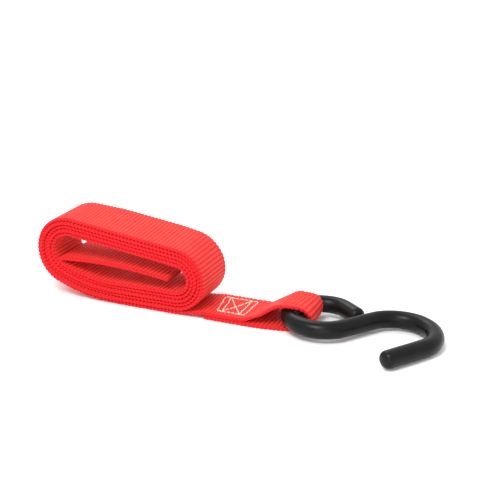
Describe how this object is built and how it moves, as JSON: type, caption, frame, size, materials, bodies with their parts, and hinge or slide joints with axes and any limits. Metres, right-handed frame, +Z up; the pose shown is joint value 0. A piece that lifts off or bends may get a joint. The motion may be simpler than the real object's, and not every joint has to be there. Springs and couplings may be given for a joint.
{
  "type": "ratchet strap",
  "caption": "Rolled tie-down webbing with its free end folded inside and a coated steel S-hook sewn into a loop: the hook strap half of a ratchet strap.",
  "frame": {"origin": "middle of the roll's flat underside, at half the webbing's width", "axes": "+X along the webbing from the roll to the hook, +Y across the webbing, +Z up from the face it rests on"},
  "size_m": [0.1888, 0.0492, 0.0374],
  "materials": {
    "webbing": "ribbed woven polyester",
    "thread": "cream bonded thread",
    "steel": "drawn wire",
    "vinyl": "satin dipped coating"
  },
  "bodies": {
    "roll": {"webbing_roll": "webbing", "webbing_tongue": "webbing"},
    "sewn_end": {"webbing_lead": "webbing", "webbing_return": "webbing", "needle_thread": "thread", "bobbin_thread": "thread"},
    "loop": {"webbing_loop": "webbing"},
    "hook": {"hook_wire": "steel", "hook_coating": "vinyl"}
  },
  "joints": [
    {"name": "lead_bend", "type": "hinge", "parent": "roll", "child": "sewn_end", "pos_m": [0.02375, 0, 0.00169], "axis": [0, 1, 0], "range_deg": [-45, 90]},
    {"name": "hook_swing", "type": "hinge", "parent": "sewn_end", "child": "loop", "pos_m": [0.06915, 0, 0.0058], "axis": [0, 1, 0], "range_deg": [-60, 45]},
    {"name": "hook_turn", "type": "hinge", "parent": "loop", "child": "hook", "pos_m": [0.08074, -0.0008, 0.00543], "axis": [0.0317, 0, 0.9995], "range_deg": [-45, 20]}
  ]
}
